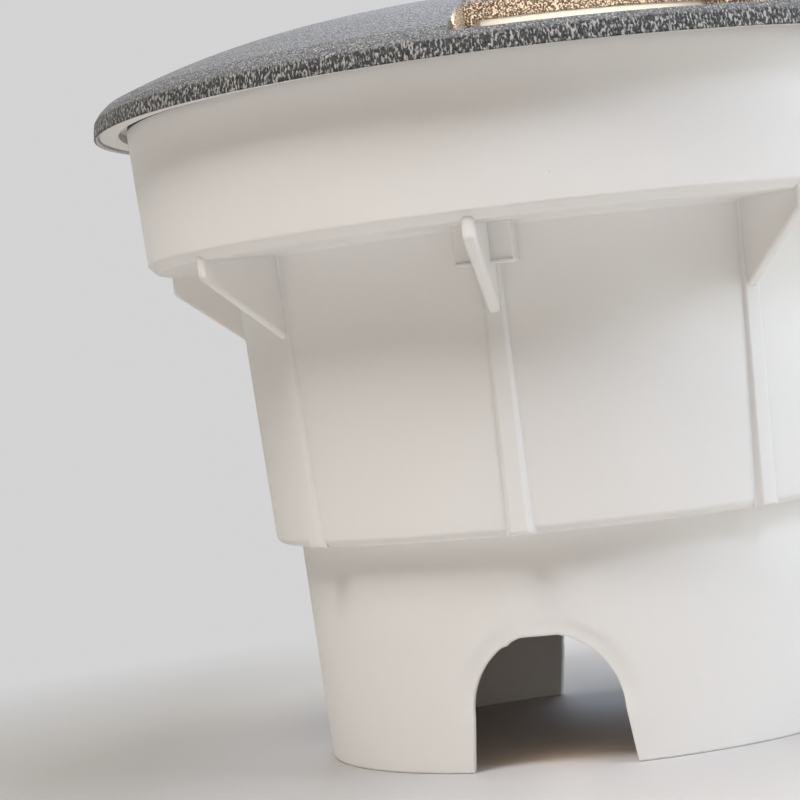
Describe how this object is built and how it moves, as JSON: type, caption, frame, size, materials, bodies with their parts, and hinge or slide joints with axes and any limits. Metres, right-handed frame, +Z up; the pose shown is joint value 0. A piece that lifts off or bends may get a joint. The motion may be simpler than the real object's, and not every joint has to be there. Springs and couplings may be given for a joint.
{
  "type": "in-ground spotlight",
  "caption": "Round in-ground spotlight: a ribbed white burial sleeve with conduit arches, a sealed lamp housing with an aimed lamp, and a domed cast cover with side windows.",
  "frame": {"origin": "centre of the resting rim at the foot of the sleeve", "axes": "+Z up along the axis of the sleeve and cover; -Y through the front conduit arch"},
  "size_m": [0.205, 0.205, 0.1695],
  "materials": {
    "sleeve_plastic": "white moulded plastic, softly glossy, with faint specks and scratches",
    "cover_coat": "coarse wrinkled grey coating on cast metal",
    "glass": "clear pressed glass",
    "rubber": "matt black rubber",
    "stainless": "plain stainless steel",
    "clamp_metal": "anodised aluminium",
    "brass": "turned brass",
    "gland_plastic": "black nylon",
    "driver_case": "dark grey moulded case",
    "terminal_plastic": "ivory terminal plastic",
    "lead_brown": "brown wire insulation",
    "heat_sink": "die-cast aluminium, matt",
    "board_mask": "white solder mask",
    "chip_phosphor": "yellow phosphor under silicone, glows warm white when lit",
    "reflector_mirror": "bright metallised reflector"
  },
  "bodies": {
    "sleeve": {"sleeve": "sleeve_plastic", "pocket_nuts": "stainless", "flange_gasket": "rubber"},
    "housing": {"lamp_housing": "sleeve_plastic", "hold_down_screws": "stainless", "lens_gasket": "rubber", "glass_lens": "glass", "lens_clamp_ring": "clamp_metal", "clamp_screws": "stainless", "cover_inserts": "brass", "cable_gland": "gland_plastic", "gland_nut": "gland_plastic", "gland_seal": "rubber", "gland_cap": "gland_plastic", "driver": "driver_case", "driver_screws": "stainless", "terminal_block": "terminal_plastic", "driver_leads": "lead_brown", "turntable_retainer": "stainless"},
    "turntable": {"turntable": "clamp_metal", "yoke_brackets": "stainless", "bracket_screws": "stainless", "pan_lock_screw": "stainless"},
    "lamp_head": {"lamp_body": "heat_sink", "led_board": "board_mask", "led_chip": "chip_phosphor", "reflector": "reflector_mirror", "lamp_lens": "glass", "lamp_bezel": "gland_plastic", "pivot_screws": "stainless"},
    "cover": {"cover": "cover_coat", "cover_screws": "stainless", "cover_screw_seals": "rubber"}
  },
  "joints": [
    {"name": "housing_lift", "type": "slide", "parent": "sleeve", "child": "housing", "axis": [0, 0, 1], "range_m": [0, 0.12]},
    {"name": "cover_lift", "type": "slide", "parent": "housing", "child": "cover", "axis": [0, 0, 1], "range_m": [0, 0.06]},
    {"name": "lamp_pan", "type": "hinge", "parent": "housing", "child": "turntable", "pos_m": [0, 0, 0.095], "axis": [0, 0, 1], "range_deg": [-175, 175]},
    {"name": "lamp_tilt", "type": "hinge", "parent": "turntable", "child": "lamp_head", "pos_m": [0, 0, 0.113], "axis": [1, 0, 0], "range_deg": [-20, 20]}
  ]
}
